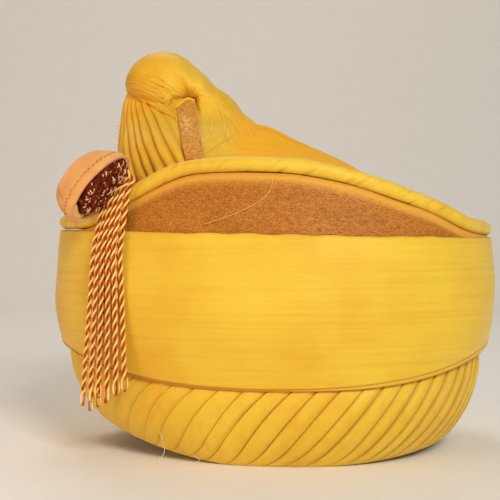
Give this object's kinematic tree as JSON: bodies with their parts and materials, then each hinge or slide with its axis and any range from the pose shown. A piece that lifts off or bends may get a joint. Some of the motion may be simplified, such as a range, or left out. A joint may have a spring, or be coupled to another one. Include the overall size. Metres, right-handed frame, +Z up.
{
  "type": "pagri",
  "caption": "Stiff egg-shaped pagri on a pleated padded rim, with a wide band, a woven gold panel, a gathered peak and a tassel hung from a stitched cap.",
  "frame": {"origin": "middle of the hull at the level of the surface that the rim stands on", "axes": "+Z up, +X from the prow with the peak to the stern, +Y to the side away from the tassel"},
  "size_m": [0.2808, 0.2334, 0.2518],
  "materials": {
    "silk": "satin",
    "zari": "metallic weave",
    "cap": "matt",
    "cord": "satin"
  },
  "bodies": {
    "root": {"base_rim": "silk", "side_band": "silk", "zari_wall": "zari", "crown_roll": "silk", "crown_cloth": "silk", "peak_hood": "silk", "peak_pleats": "silk", "peak_strap": "zari", "tassel_cap": "cap", "tassel": "cord"}
  },
  "joints": []
}
